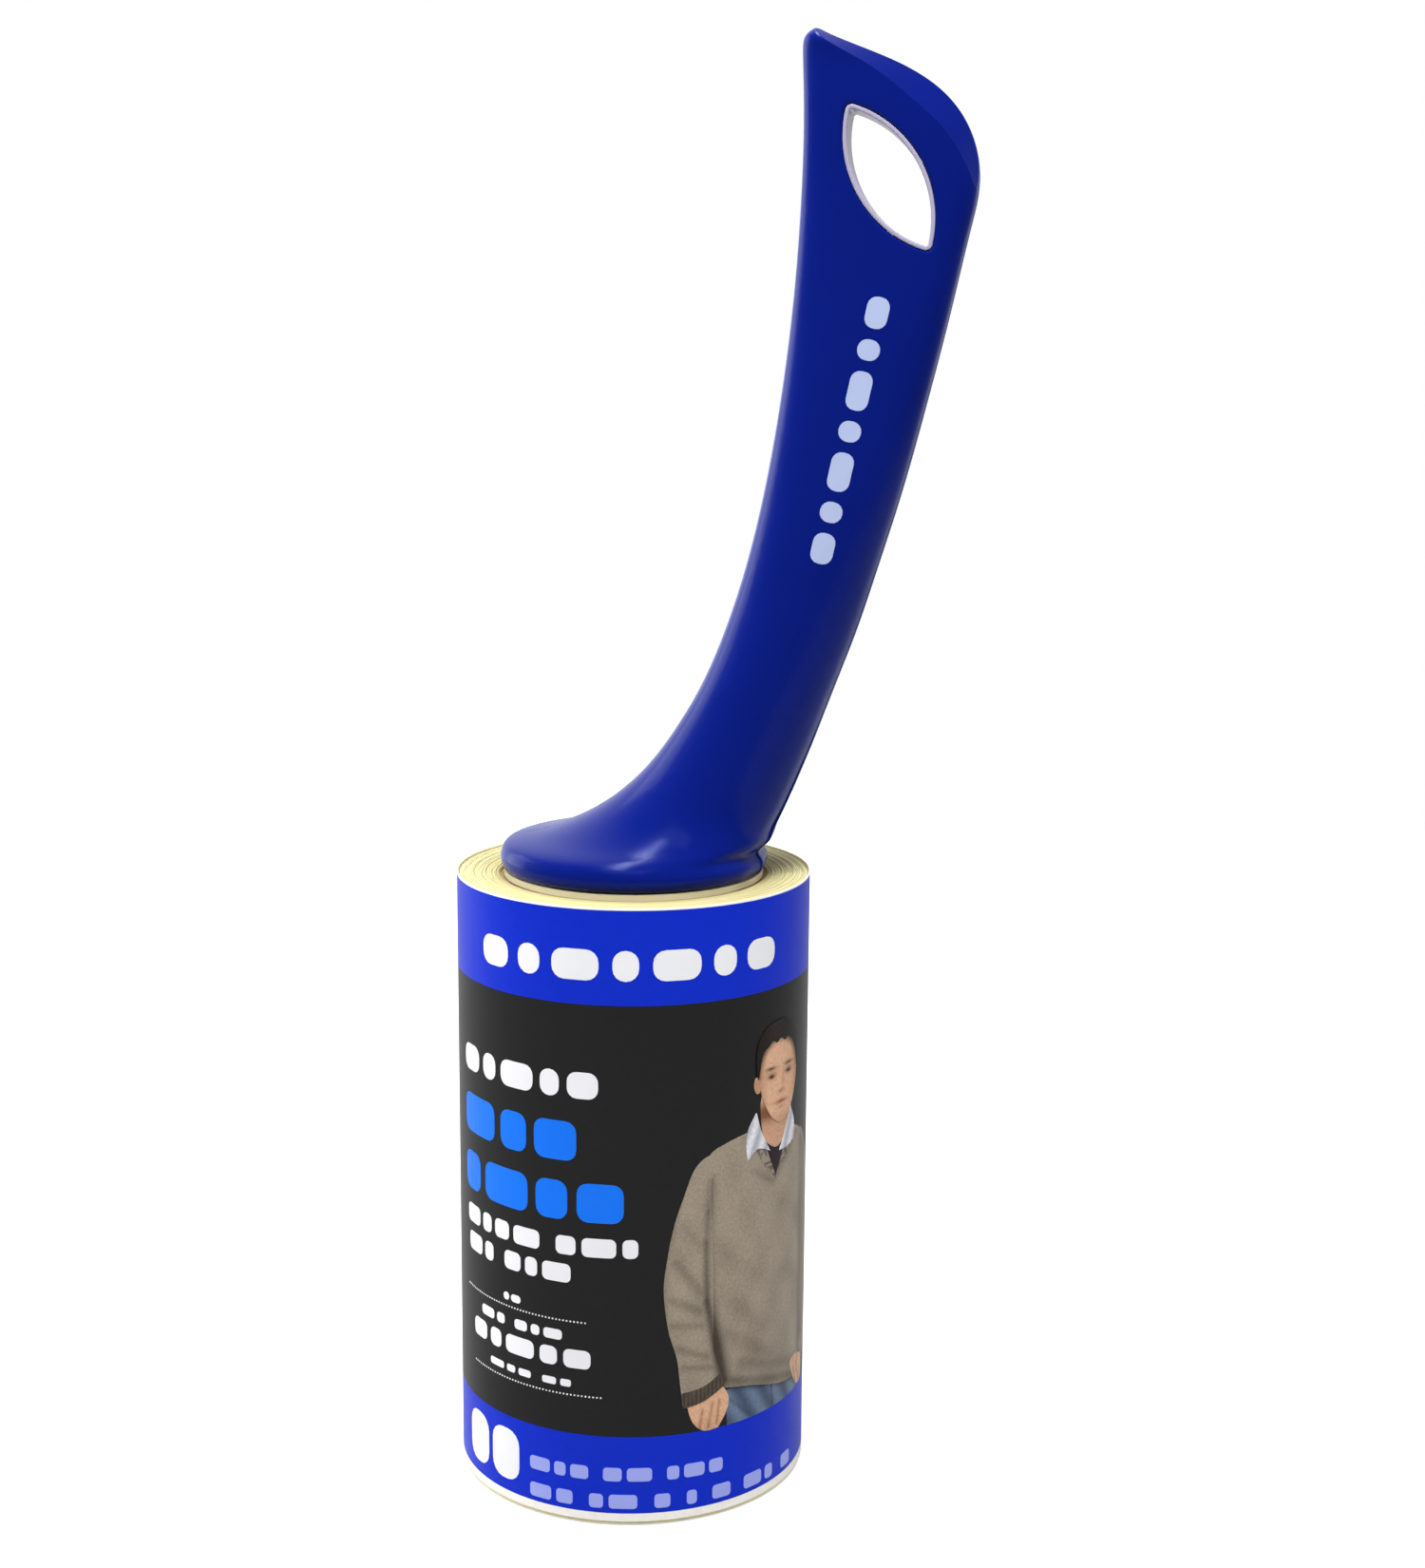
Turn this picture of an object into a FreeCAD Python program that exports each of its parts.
import FreeCAD, Part
import math
import os

import Sketcher
from FreeCAD import Placement, Rotation, Vector

# Lint roller, in millimetres. +Z runs up the roll's axis and Z = 0 is the roll's lower end, on which
# it stands. The handle lies in the XZ plane and leans towards +X; its front face looks towards -Y.
#
# Three groups of pieces: the refill (core, wound sheets, printed wrap), the spool that grips the
# refill's core, and the handle with the axle on which the spool turns.

DIMENSIONS = {
    # refill
    "roll_length": 101.6,
    "roll_radius": 28.95,
    "wrap_thickness": 0.2,
    "wrap_lower_edge": 0.6,
    "wrap_upper_edge": 101.5,
    "roll_dish": 0.4,
    "core_radius": 21.9,
    "core_wall": 1.4,
    "core_lower_end": 0.8,
    "core_upper_end": 100.5,
    # spool
    "flange_radius": 21.2,
    "flange_underside": 100.8,
    "flange_top": 101.8,
    "barrel_radius": 18.6,
    "barrel_wall": 1.6,
    "barrel_lower_end": 3.2,
    "rib_radius": 20.2,
    "rib_width": 1.6,
    "rib_lower_end": 8.0,
    "rib_upper_end": 98.0,
    "rib_count": 8,
    "finger_count": 4,
    "finger_width": 8.0,
    "finger_root": 40.0,
    "finger_tip": 16.0,
    "finger_slot": 1.2,
    "finger_bump_length": 3.0,
    "finger_bump_width": 6.4,
    "hub_wall": 2.05,
    "upper_hub_top": 101.3,
    "upper_hub_length": 13.3,
    "upper_web_underside": 99.8,
    "washer_recess_radius": 10.0,
    "lower_hub_underside": 6.0,
    "lower_hub_top": 18.0,
    "cap_radius": 20.1,
    "cap_underside": 1.2,
    "cap_plug_top": 7.6,
    "cap_recess_radius": 9.0,
    "cap_wall": 1.6,
    # axle, clip and washers
    "axle_radius": 4.5,
    "running_clearance": 0.05,
    "axle_lower_end": 2.6,
    "axle_chamfer": 0.8,
    "groove_radius": 3.5,
    "groove_lower_side": 4.35,
    "groove_upper_side": 5.25,
    "head_side": 16.0,
    "head_underside": 104.4,
    "head_thickness": 3.0,
    "clip_radius": 7.0,
    "clip_underside": 4.4,
    "clip_thickness": 0.8,
    "clip_mouth": 6.2,
    "washer_bore": 4.7,
    "upper_washer_radius": 9.0,
    "upper_washer_underside": 101.4,
    "lower_washer_radius": 8.4,
    "lower_washer_underside": 5.3,
    "lower_washer_thickness": 0.6,
    # underside of the handle
    "disc_underside": 102.1,
    "disc_bore": 4.75,
    "head_pocket_play": 0.1,
    # shells of the handle
    "shell_wall": 2.2,
    "parting_gap": 0.1,
    "facet_start_depth": 1.2,
    "facet_full_depth": 8.0,
    "facet_rise": 0.4,
    "post_radius": 3.2,
    "pin_radius": 1.5,
    "pin_length": 3.0,
    "socket_play": 0.08,
    # leaf-shaped hang hole and the pale liner inside it
    "leaf_upper_x": 33.2,
    "leaf_upper_z": 222.4,
    "leaf_lower_x": 46.4,
    "leaf_lower_z": 200.2,
    "leaf_bulge": 5.45,
    "leaf_corner": 1.1,
    "leaf_surround": 2.0,
    "liner_wall": 0.65,
    "liner_edge": 0.2,
    "hole_edge": 0.5,
    "liner_play": 0.04,
}

# Cross-sections of the handle, from the underside of its base disc through the neck to the tip. Each
# one spans from the inner (concave) edge to the outer edge of the side outline.
# inner x, inner z, outer x, outer z, half depth along Y, squareness (2 = ellipse)
STATIONS = [
    (-21.1, 102.1, 21.1, 102.1, 21.1, 2.0),
    (-21.7, 103.1, 21.7, 103.1, 21.7, 2.0),
    (-21.7, 104.5, 21.7, 104.3, 21.7, 2.0),
    (-21.1, 105.8, 21.0, 105.4, 21.1, 2.0),
    (-19.5, 106.6, 21.6, 106.4, 19.8, 2.0),
    (-16.8, 107.2, 22.7, 107.4, 18.0, 2.0),
    (-14.0, 107.9, 23.2, 108.7, 16.4, 2.0),
    (-6.4, 111.4, 24.5, 111.8, 13.4, 2.0),
    (1.5, 117.8, 26.7, 117.0, 11.4, 2.0),
    (6.6, 124.5, 29.3, 123.6, 10.4, 2.1),
    (10.9, 131.9, 32.3, 131.8, 9.8, 2.2),
    (14.5, 140.3, 35.5, 140.4, 9.3, 2.2),
    (17.9, 150.8, 38.8, 150.7, 8.8, 2.3),
    (20.9, 163.5, 42.6, 163.4, 8.2, 2.5),
    (23.2, 177.0, 46.1, 176.9, 7.6, 2.7),
    (24.9, 191.0, 49.5, 191.2, 6.9, 3.0),
    (25.9, 204.5, 52.3, 204.0, 6.3, 3.2),
    (26.3, 216.5, 53.4, 213.0, 5.9, 3.3),
    (26.2, 225.0, 50.2, 221.4, 5.7, 3.3),
    (26.0, 230.2, 42.5, 227.7, 5.4, 3.1),
    (26.6, 232.8, 32.0, 232.0, 4.6, 2.6),
    (27.6, 233.6, 29.0, 233.4, 2.6, 2.2),
]
NECK_STATION = 7  # where the hollow of the grip begins
PIN_STATIONS = (11, 13, 15)

# The facet along the top of the tip, on both faces: points of the outline that it follows and how
# far in from the outline it reaches at full depth.
FACET_POINTS = [
    (24.5, 235.0, 0.8),
    (31.7, 232.4, 3.2),
    (38.8, 229.7, 5.0),
    (45.2, 225.9, 6.0),
    (50.2, 221.2, 6.0),
    (53.0, 215.0, 5.0),
    (53.5, 208.5, 3.2),
    (52.0, 200.5, 0.6),
    (49.8, 190.5, -1.5),
]

STATION_FIELDS = ("inner_x", "inner_z", "outer_x", "outer_z", "half_depth", "squareness")

doc = FreeCAD.newDocument("lint_roller")
sheet = doc.addObject("Spreadsheet::Sheet", "dims")
row = 0
for name, value in DIMENSIONS.items():
    row += 1
    sheet.set(f"A{row}", name)
    sheet.set(f"B{row}", str(value))
    sheet.setAlias(f"B{row}", name)
for index, station in enumerate(STATIONS):
    for field, value in zip(STATION_FIELDS, station):
        row += 1
        alias = f"station_{index}_{field}"
        sheet.set(f"A{row}", alias)
        sheet.set(f"B{row}", str(value))
        sheet.setAlias(f"B{row}", alias)
doc.recompute()

nodes = {}


def size(name):
    """The number in the spreadsheet cell of that alias."""
    return float(getattr(sheet, name))


def new_body(name):
    body = doc.addObject("PartDesign::Body", name)
    body.Label = name
    nodes[name] = body
    return body


def sketch_on(body, role, name):
    """An empty sketch flat on one of the body's own origin planes."""
    sketch = body.newObject("Sketcher::SketchObject", name)
    plane = next(item for item in body.Origin.OriginFeatures if item.Role == role)
    sketch.AttachmentSupport = [(plane, "")]
    sketch.MapMode = "FlatFace"
    return sketch


def polygon(sketch, corners):
    """A closed polygon whose corners are pairs of expressions of the spreadsheet's cells."""
    points = [Vector(*(float(sketch.evalExpression(text)) for text in corner), 0) for corner in corners]
    count = len(points)
    for index in range(count):
        sketch.addGeometry(Part.LineSegment(points[index], points[(index + 1) % count]))
    for index in range(count):
        sketch.addConstraint(Sketcher.Constraint("Coincident", index, 2, (index + 1) % count, 1))
    for index, corner in enumerate(corners):
        for kind, text, axis, value in zip(
            ("DistanceX", "DistanceY"), corner, (-2, -1), (points[index].x, points[index].y)
        ):
            if text == "0":
                sketch.addConstraint(Sketcher.Constraint("PointOnObject", index, 1, axis))
                continue
            number = sketch.addConstraint(Sketcher.Constraint(kind, -1, 1, index, 1, value))
            sketch.setExpression(f"Constraints[{number}]", text)


def revolved(body, name, corners):
    """A full turn about Z of a polygon of (radius, height) corners."""
    sketch = sketch_on(body, "XZ_Plane", name + "_profile")
    polygon(sketch, corners)
    turn = body.newObject("PartDesign::Revolution", name)
    turn.Profile = sketch
    turn.ReferenceAxis = (sketch, ["V_Axis"])
    turn.Angle = 360
    sketch.Visibility = False
    return turn


def polar_pattern(body, feature, count):
    """Copies of a feature evenly round Z; the pattern becomes the body's tip."""
    pattern = body.newObject("PartDesign::PolarPattern", feature.Name + "_pattern")
    pattern.Originals = [feature]
    z_axis = next(item for item in body.Origin.OriginFeatures if item.Role == "Z_Axis")
    pattern.Axis = (z_axis, [""])
    pattern.Angle = 360
    pattern.setExpression("Occurrences", count)
    body.Tip = pattern
    doc.recompute()
    return pattern


def cylinder(name, radius, height, base):
    """A Part cylinder on the Z axis, its sizes given as expressions."""
    item = doc.addObject("Part::Cylinder", name)
    item.setExpression("Radius", radius)
    item.setExpression("Height", height)
    item.setExpression(".Placement.Base.z", base)
    return item


def cut(name, base, tool):
    item = doc.addObject("Part::Cut", name)
    item.Base = base
    item.Tool = tool
    return item


# ---------------------------------------------------------------- refill


def build_core_tube():
    body = new_body("core_tube")
    inner = "dims.core_radius - dims.core_wall"
    revolved(body, "tube_wall", [
        (inner, "dims.core_lower_end"),
        ("dims.core_radius", "dims.core_lower_end"),
        ("dims.core_radius", "dims.core_upper_end"),
        (inner, "dims.core_upper_end"),
    ])


def build_sheet_roll():
    """The wound sheets; their upper end dishes slightly towards the core."""
    body = new_body("sheet_roll")
    outer = "dims.roll_radius - dims.wrap_thickness"
    revolved(body, "wound_sheets", [
        ("dims.core_radius", "0"),
        (outer, "0"),
        (outer, "dims.roll_length"),
        ("dims.core_radius", "dims.roll_length - dims.roll_dish"),
    ])


def build_printed_wrap():
    body = new_body("printed_wrap")
    inner = "dims.roll_radius - dims.wrap_thickness"
    revolved(body, "wrap_sleeve", [
        (inner, "dims.wrap_lower_edge"),
        ("dims.roll_radius", "dims.wrap_lower_edge"),
        ("dims.roll_radius", "dims.wrap_upper_edge"),
        (inner, "dims.wrap_upper_edge"),
    ])


# ---------------------------------------------------------------- spool


def build_spool_cage():
    """Barrel with a top flange, a hub for the axle, eight ribs and four spring fingers."""
    body = new_body("spool_cage")
    bore = "dims.axle_radius + dims.running_clearance"
    hub_outside = bore + " + dims.hub_wall"
    barrel_inside = "dims.barrel_radius - dims.barrel_wall"
    revolved(body, "barrel", [
        (barrel_inside, "dims.barrel_lower_end"),
        ("dims.barrel_radius", "dims.barrel_lower_end"),
        ("dims.barrel_radius", "dims.flange_underside"),
        ("dims.flange_radius", "dims.flange_underside"),
        ("dims.flange_radius", "dims.flange_top"),
        ("dims.washer_recess_radius", "dims.flange_top"),
        ("dims.washer_recess_radius", "dims.upper_hub_top"),
        (bore, "dims.upper_hub_top"),
        (bore, "dims.upper_hub_top - dims.upper_hub_length"),
        (hub_outside, "dims.upper_hub_top - dims.upper_hub_length"),
        (hub_outside, "dims.upper_web_underside"),
        (barrel_inside, "dims.upper_web_underside"),
    ])

    # ribs, turned by half a step so that the fingers lie between them
    sketch = sketch_on(body, "XY_Plane", "rib_section")
    polygon(sketch, [
        ("dims.barrel_radius - dims.barrel_wall / 2", "-dims.rib_width / 2"),
        ("dims.rib_radius", "-dims.rib_width / 2"),
        ("dims.rib_radius", "dims.rib_width / 2"),
        ("dims.barrel_radius - dims.barrel_wall / 2", "dims.rib_width / 2"),
    ])
    sketch.AttachmentOffset = Placement(Vector(0, 0, 0), Rotation(Vector(0, 0, 1), 180 / size("rib_count")))
    sketch.setExpression(".AttachmentOffset.Base.z", "dims.rib_lower_end")
    rib = body.newObject("PartDesign::Pad", "rib")
    rib.Profile = sketch
    rib.setExpression("Length", "dims.rib_upper_end - dims.rib_lower_end")
    doc.recompute()
    polar_pattern(body, rib, "dims.rib_count")

    # a raised bump near each finger's free end, which grips the core
    inside = "-dims.barrel_radius + dims.barrel_wall / 2"
    bump_sketch = sketch_on(body, "XY_Plane", "bump_section")
    polygon(bump_sketch, [
        ("-dims.finger_bump_width / 2", "-dims.rib_radius"),
        ("dims.finger_bump_width / 2", "-dims.rib_radius"),
        ("dims.finger_bump_width / 2", inside),
        ("-dims.finger_bump_width / 2", inside),
    ])
    bump_sketch.setExpression(".AttachmentOffset.Base.z", "dims.finger_tip + 2 * dims.finger_slot")
    bump = body.newObject("PartDesign::Pad", "finger_bump")
    bump.Profile = bump_sketch
    bump.setExpression("Length", "dims.finger_bump_length")
    doc.recompute()
    polar_pattern(body, bump, "dims.finger_count")

    # U-shaped slot that frees each finger from the barrel
    half = "dims.finger_width / 2"
    outer = "dims.finger_width / 2 + dims.finger_slot"
    slot_sketch = sketch_on(body, "XZ_Plane", "finger_slot_outline")
    polygon(slot_sketch, [
        ("-dims.finger_width / 2 - dims.finger_slot", "dims.finger_root"),
        ("-dims.finger_width / 2 - dims.finger_slot", "dims.finger_tip"),
        (outer, "dims.finger_tip"),
        (outer, "dims.finger_root"),
        (half, "dims.finger_root"),
        (half, "dims.finger_tip + dims.finger_slot"),
        ("-dims.finger_width / 2", "dims.finger_tip + dims.finger_slot"),
        ("-dims.finger_width / 2", "dims.finger_root"),
    ])
    before = body.Shape.Volume
    slot = body.newObject("PartDesign::Pocket", "finger_slots")
    slot.Profile = slot_sketch
    slot.Reversed = True
    slot.setExpression("Length", "dims.flange_radius")
    doc.recompute()
    polar_pattern(body, slot, "dims.finger_count")
    if body.Shape.Volume >= before:
        raise RuntimeError("the finger slots cut nothing")


def build_spool_end_cap():
    """Cap plugged into the barrel's lower end, with the lower hub and a recess for the clip."""
    body = new_body("spool_end_cap")
    bore = "dims.axle_radius + dims.running_clearance"
    plug = "dims.barrel_radius - dims.barrel_wall - dims.running_clearance"
    recess_outside = "dims.cap_recess_radius + dims.cap_wall"
    revolved(body, "cap", [
        ("dims.cap_recess_radius", "dims.cap_underside"),
        ("dims.cap_radius", "dims.cap_underside"),
        ("dims.cap_radius", "dims.barrel_lower_end"),
        (plug, "dims.barrel_lower_end"),
        (plug, "dims.cap_plug_top"),
        (plug + " - dims.cap_wall", "dims.cap_plug_top"),
        (plug + " - dims.cap_wall", "dims.barrel_lower_end"),
        (recess_outside, "dims.barrel_lower_end"),
        (recess_outside, "dims.cap_plug_top"),
        (bore + " + dims.hub_wall", "dims.cap_plug_top"),
        (bore + " + dims.hub_wall", "dims.lower_hub_top"),
        (bore, "dims.lower_hub_top"),
        (bore, "dims.lower_hub_underside"),
        ("dims.cap_recess_radius", "dims.lower_hub_underside"),
    ])


# ---------------------------------------------------------------- axle and its small parts


def build_axle():
    """Round pin with a groove for the clip and a square head that the handle shells trap."""
    body = new_body("axle")
    revolved(body, "pin", [
        ("0", "dims.axle_lower_end"),
        ("dims.axle_radius - dims.axle_chamfer", "dims.axle_lower_end"),
        ("dims.axle_radius", "dims.axle_lower_end + dims.axle_chamfer"),
        ("dims.axle_radius", "dims.groove_lower_side"),
        ("dims.groove_radius", "dims.groove_lower_side"),
        ("dims.groove_radius", "dims.groove_upper_side"),
        ("dims.axle_radius", "dims.groove_upper_side"),
        ("dims.axle_radius", "dims.head_underside"),
        ("0", "dims.head_underside"),
    ])
    sketch = sketch_on(body, "XY_Plane", "head_outline")
    low, high = "-dims.head_side / 2", "dims.head_side / 2"
    polygon(sketch, [(low, low), (high, low), (high, high), (low, high)])
    sketch.setExpression(".AttachmentOffset.Base.z", "dims.head_underside")
    head = body.newObject("PartDesign::Pad", "head")
    head.Profile = sketch
    head.setExpression("Length", "dims.head_thickness")


def build_retaining_clip():
    """Spring ring in the axle's groove, open on one side."""
    ring = cut(
        "clip_ring",
        cylinder("clip_blank", "dims.clip_radius", "dims.clip_thickness", "dims.clip_underside"),
        cylinder("clip_bore", "dims.groove_radius + dims.running_clearance",
                 "dims.clip_thickness", "dims.clip_underside"),
    )
    mouth = doc.addObject("Part::Box", "clip_mouth_tool")
    mouth.setExpression("Length", "2 * dims.clip_radius")
    mouth.setExpression("Width", "dims.clip_mouth")
    mouth.setExpression("Height", "dims.clip_thickness")
    mouth.setExpression(".Placement.Base.y", "-dims.clip_mouth / 2")
    mouth.setExpression(".Placement.Base.z", "dims.clip_underside")
    nodes["retaining_clip"] = cut("retaining_clip", ring, mouth)


def build_washers():
    sizes = {
        "thrust_washer_upper": (
            "dims.upper_washer_radius",
            "dims.disc_underside - dims.upper_washer_underside",
            "dims.upper_washer_underside",
        ),
        "thrust_washer_lower": (
            "dims.lower_washer_radius",
            "dims.lower_washer_thickness",
            "dims.lower_washer_underside",
        ),
    }
    for name, (radius, thickness, underside) in sizes.items():
        blank = cylinder(name + "_blank", radius, thickness, underside)
        bore = cylinder(name + "_bore", "dims.washer_bore", thickness, underside)
        nodes[name] = cut(name, blank, bore)


# ---------------------------------------------------------------- handle

DEPTH_MARGIN = 60.0  # reaches past the handle on either side, for cutting tools
SECTION_POINTS = 16
SECTIONS_PER_STATION = 2


def grip_curves():
    """Two space curves through the stations, sharing one parameter: (inner x, half depth, inner z)
    and (outer x, squareness, outer z)."""
    stations = [
        [size(f"station_{index}_{field}") for field in STATION_FIELDS]
        for index in range(len(STATIONS))
    ]
    inner = [Vector(item[0], item[4], item[1]) for item in stations]
    outer = [Vector(item[2], item[5], item[3]) for item in stations]
    parameters = [0.0]
    for index in range(1, len(stations)):
        step = (inner[index] - inner[index - 1]).Length + (outer[index] - outer[index - 1]).Length
        parameters.append(parameters[-1] + step / 2)
    curves = []
    for points in (inner, outer):
        curve = Part.BSplineCurve()
        curve.interpolate(Points=points, Parameters=parameters)
        curves.append(curve)
    return curves, parameters


def grip_section(curves, parameter, inset):
    """The front half of a superellipse between the inner and outer edges, drawn in by inset and
    closed by a straight line in the parting plane."""
    inner, outer = (curve.value(parameter) for curve in curves)
    half_depth = inner.y - inset
    power = outer.y
    inner = Vector(inner.x, 0, inner.z)
    outer = Vector(outer.x, 0, outer.z)
    centre = (inner + outer) / 2
    half_width = (outer - inner) / 2
    half_width = half_width * ((half_width.Length - inset) / half_width.Length)
    points = []
    for index in range(SECTION_POINTS + 1):
        angle = math.pi * (1 + index / SECTION_POINTS)
        cosine, sine = math.cos(angle), math.sin(angle)
        reach = (abs(cosine) ** power + abs(sine) ** power) ** (-1 / power)
        points.append(centre + half_width * (cosine * reach) + Vector(0, half_depth * sine * reach, 0))
    curve = Part.BSplineCurve()
    curve.interpolate(Points=points, InitialTangent=Vector(0, -1, 0), FinalTangent=Vector(0, 1, 0))
    return Part.Wire([curve.toShape(), Part.makeLine(points[-1], points[0])])


def grip_loft(first, last, inset):
    """Smooth solid of the front half through the sections from one station to another."""
    curves, parameters = grip_curves()
    sections = []
    for index in range(first, last):
        for step in range(SECTIONS_PER_STATION):
            share = step / SECTIONS_PER_STATION
            parameter = parameters[index] * (1 - share) + parameters[index + 1] * share
            sections.append(grip_section(curves, parameter, inset))
    sections.append(grip_section(curves, parameters[last], inset))
    return Part.makeLoft(sections, True, False)


def facet_cutter():
    """What the facet takes off the front face: everything outside a surface that leans in from the
    outline as it goes forward."""
    outline = Part.BSplineCurve()
    outline.interpolate([Vector(x, 0, z) for x, z, inset in FACET_POINTS])

    def edge_wire(depth, share):
        points = []
        for x, z, inset in FACET_POINTS:
            tangent = outline.tangent(outline.parameter(Vector(x, 0, z)))[0]
            outward = Vector(-tangent.z, 0, tangent.x)
            shift = size("facet_rise") * (1 - share) - inset * share
            points.append(Vector(x, -depth, z) + outward * shift)
        curve = Part.BSplineCurve()
        curve.interpolate(points)
        far = DEPTH_MARGIN
        corners = [
            points[-1],
            Vector(points[-1].x + far, -depth, points[-1].z),
            Vector(points[-1].x + far, -depth, points[0].z + far),
            Vector(points[0].x, -depth, points[0].z + far),
            points[0],
        ]
        edges = [Part.makeLine(start, end) for start, end in zip(corners, corners[1:])]
        return Part.Wire([curve.toShape()] + edges)

    shallow = edge_wire(size("facet_start_depth"), 0)
    deep = edge_wire(size("facet_full_depth"), 1)
    return Part.makeLoft([shallow, deep], True, True)


def leaf_prism(offset):
    """The hang hole's leaf outline, grown by offset, drawn through the handle along Y."""
    upper = Vector(size("leaf_upper_x"), 0, size("leaf_upper_z"))
    lower = Vector(size("leaf_lower_x"), 0, size("leaf_lower_z"))
    along = (lower - upper).normalize()
    across = Vector(-along.z, 0, along.x) * size("leaf_bulge")
    middle = (upper + lower) / 2
    outline = Part.Wire([
        Part.Arc(upper, middle + across, lower).toShape(),
        Part.Arc(lower, middle - across, upper).toShape(),
    ])
    corner = size("leaf_corner")
    face = Part.Face(outline).makeOffset2D(-corner).makeOffset2D(corner + offset)
    prism = face.extrude(Vector(0, 2 * DEPTH_MARGIN, 0))
    prism.translate(Vector(0, -DEPTH_MARGIN, 0))
    return prism


def round_rims(shape, radius):
    """Rounds the hang hole's edges on the handle's faces; the hole lies across the parting plane."""
    surround = leaf_prism(size("leaf_surround") / 2)
    shallow = size("facet_start_depth")
    rims = []
    for edge in shape.Edges:
        points = [vertex.Point for vertex in edge.Vertexes]
        if all(abs(point.y) > shallow and surround.isInside(point, 0.01, True) for point in points):
            rims.append(edge)
    return shape.makeFillet(radius, rims)


def build_handle():
    """Both shells and the liner. The handle is symmetric about the parting plane, so the back shell
    mirrors the front one, apart from the locating pins and their sockets."""
    origin, along_y = Vector(0, 0, 0), Vector(0, 1, 0)
    last = len(STATIONS) - 1
    solid = grip_loft(0, last, 0).cut(facet_cutter())

    # hollow inside the grip, leaving a surround for the hang hole and posts for the locating pins
    cavity = grip_loft(NECK_STATION, last - 3, size("shell_wall")).cut(leaf_prism(size("leaf_surround")))
    curves, parameters = grip_curves()
    centres = []
    for index in PIN_STATIONS:
        inner, outer = (curve.value(parameters[index]) for curve in curves)
        centres.append(Vector((inner.x + outer.x) / 2, 0, (inner.z + outer.z) / 2))
    for centre in centres:
        start = centre - along_y * DEPTH_MARGIN
        cavity = cavity.cut(Part.makeCylinder(size("post_radius"), 2 * DEPTH_MARGIN, start, along_y))

    # pocket for the axle's square head and the bore below it
    play = size("head_pocket_play")
    side = size("head_side") + 2 * play
    pocket = Part.makeBox(
        side, side, size("head_thickness") + 2 * play,
        Vector(-side / 2, -side / 2, size("head_underside") - play),
    )
    bore = Part.makeCylinder(
        size("disc_bore"),
        size("head_underside") - size("disc_underside"),
        Vector(0, 0, size("disc_underside")),
    )
    gap = Part.makeBox(
        4 * DEPTH_MARGIN, size("parting_gap"), 8 * DEPTH_MARGIN,
        Vector(-2 * DEPTH_MARGIN, -size("parting_gap") / 2, 0),
    )
    front = round_rims(solid.cut([cavity, pocket, bore, leaf_prism(0), gap]), size("hole_edge"))
    back = front.mirror(origin, along_y)
    for centre in centres:
        pin = Part.makeCylinder(size("pin_radius"), 1 + size("pin_length"), centre - along_y, along_y)
        front = front.fuse(pin)
        socket = Part.makeCylinder(
            size("pin_radius") + size("socket_play"), size("pin_length") + 0.3, centre, along_y
        )
        back = back.cut(socket)

    # liner of the hang hole, flush with the grip's faces
    play = size("liner_play")
    ring = leaf_prism(-play).cut(leaf_prism(-play - size("liner_wall")))
    half = solid.common(ring)
    liner = half.fuse(half.mirror(origin, along_y)).removeSplitter()

    shapes = {
        "handle_front_shell": front,
        "handle_back_shell": back,
        "hang_hole_liner": round_rims(liner, size("liner_edge")),
    }
    for name, shape in shapes.items():
        feature = doc.addObject("Part::Feature", name)
        feature.Shape = shape.Solids[0]
        feature.Placement = Placement()
        nodes[name] = feature


build_core_tube()
build_sheet_roll()
build_printed_wrap()
build_spool_cage()
build_spool_end_cap()
build_axle()
build_retaining_clip()
build_washers()
build_handle()
doc.recompute()

for item in doc.Objects:
    if "Invalid" in item.State or "Error" in item.State:
        raise RuntimeError(f"{item.Name} failed: {item.State}")
for name, item in nodes.items():
    shape = item.Shape
    if shape.isNull() or not shape.isValid() or not shape.Solids:
        raise RuntimeError(f"{name} has no valid solid")
    item.Label = name
    print(f"{name}: {len(shape.Solids)} solid, {shape.Volume:.0f} mm3")

os.makedirs("parts", exist_ok=True)
for name, item in nodes.items():
    item.Shape.exportStep(f"parts/{name}.step")
